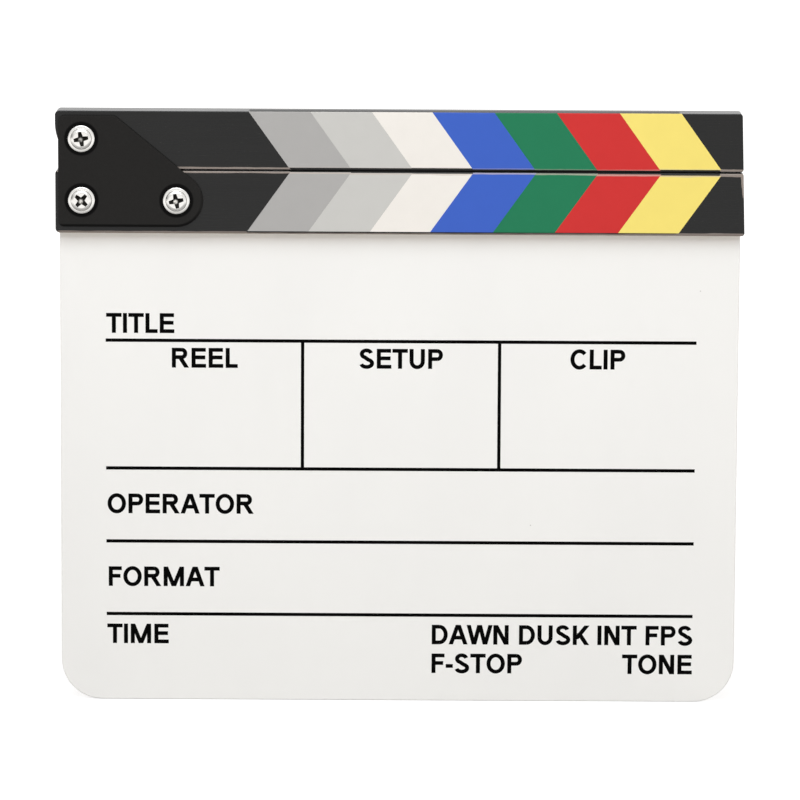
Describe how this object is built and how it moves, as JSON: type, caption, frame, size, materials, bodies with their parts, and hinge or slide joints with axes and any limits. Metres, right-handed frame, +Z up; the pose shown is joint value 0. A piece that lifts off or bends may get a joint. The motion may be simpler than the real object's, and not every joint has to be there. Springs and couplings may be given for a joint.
{
  "type": "clapperboard",
  "caption": "Film clapperboard: white dry-erase slate hung in a black wooden stick, with a second colour-striped stick hinged above it at the left.",
  "frame": {"origin": "middle of the board's bottom edge, half-way through the board's thickness", "axes": "+X to the right along the sticks, seen from the front; +Z up the board; the printed front faces -Y"},
  "size_m": [0.3007, 0.0208, 0.2625],
  "materials": {
    "white_acrylic": "white dry-erase acrylic, low gloss",
    "black_wood": "satin black painted hardwood, worn brown-grey on the rounded edges",
    "black_plate": "matt black coated steel sheet",
    "nickel": "bright nickel plate",
    "black_screw": "black oxide steel",
    "nylon": "natural nylon sheet",
    "magnet": "nickel-plated magnet disc",
    "stripe_grey": "satin self-adhesive vinyl, grey",
    "stripe_pale_grey": "satin self-adhesive vinyl, pale grey",
    "stripe_white": "satin self-adhesive vinyl, white",
    "stripe_blue": "satin self-adhesive vinyl, blue",
    "stripe_green": "satin self-adhesive vinyl, green",
    "stripe_red": "satin self-adhesive vinyl, red",
    "stripe_yellow": "satin self-adhesive vinyl, yellow"
  },
  "bodies": {
    "slate": {"slate_board": "white_acrylic", "lower_stick": "black_wood", "front_hinge_plate": "black_plate", "rear_hinge_plate": "black_plate", "front_pivot_washer": "nylon", "rear_pivot_washer": "nylon", "lower_magnet": "magnet", "pivot_screw": "nickel", "pivot_post": "nickel", "left_plate_screw": "nickel", "left_plate_post": "nickel", "right_plate_screw": "nickel", "right_plate_post": "nickel", "board_screw_1": "black_screw", "board_screw_2": "black_screw", "board_screw_3": "black_screw", "lower_stripe_grey": "stripe_grey", "lower_stripe_pale_grey": "stripe_pale_grey", "lower_stripe_white": "stripe_white", "lower_stripe_blue": "stripe_blue", "lower_stripe_green": "stripe_green", "lower_stripe_red": "stripe_red", "lower_stripe_yellow": "stripe_yellow"},
    "clap_stick": {"upper_stick": "black_wood", "upper_magnet": "magnet", "upper_stripe_grey": "stripe_grey", "upper_stripe_pale_grey": "stripe_pale_grey", "upper_stripe_white": "stripe_white", "upper_stripe_blue": "stripe_blue", "upper_stripe_green": "stripe_green", "upper_stripe_red": "stripe_red", "upper_stripe_yellow": "stripe_yellow"}
  },
  "joints": [
    {"name": "clap", "type": "hinge", "parent": "slate", "child": "clap_stick", "pos_m": [-0.1388, 0, 0.25045], "axis": [0, -1, 0], "range_deg": [0, 100]}
  ]
}
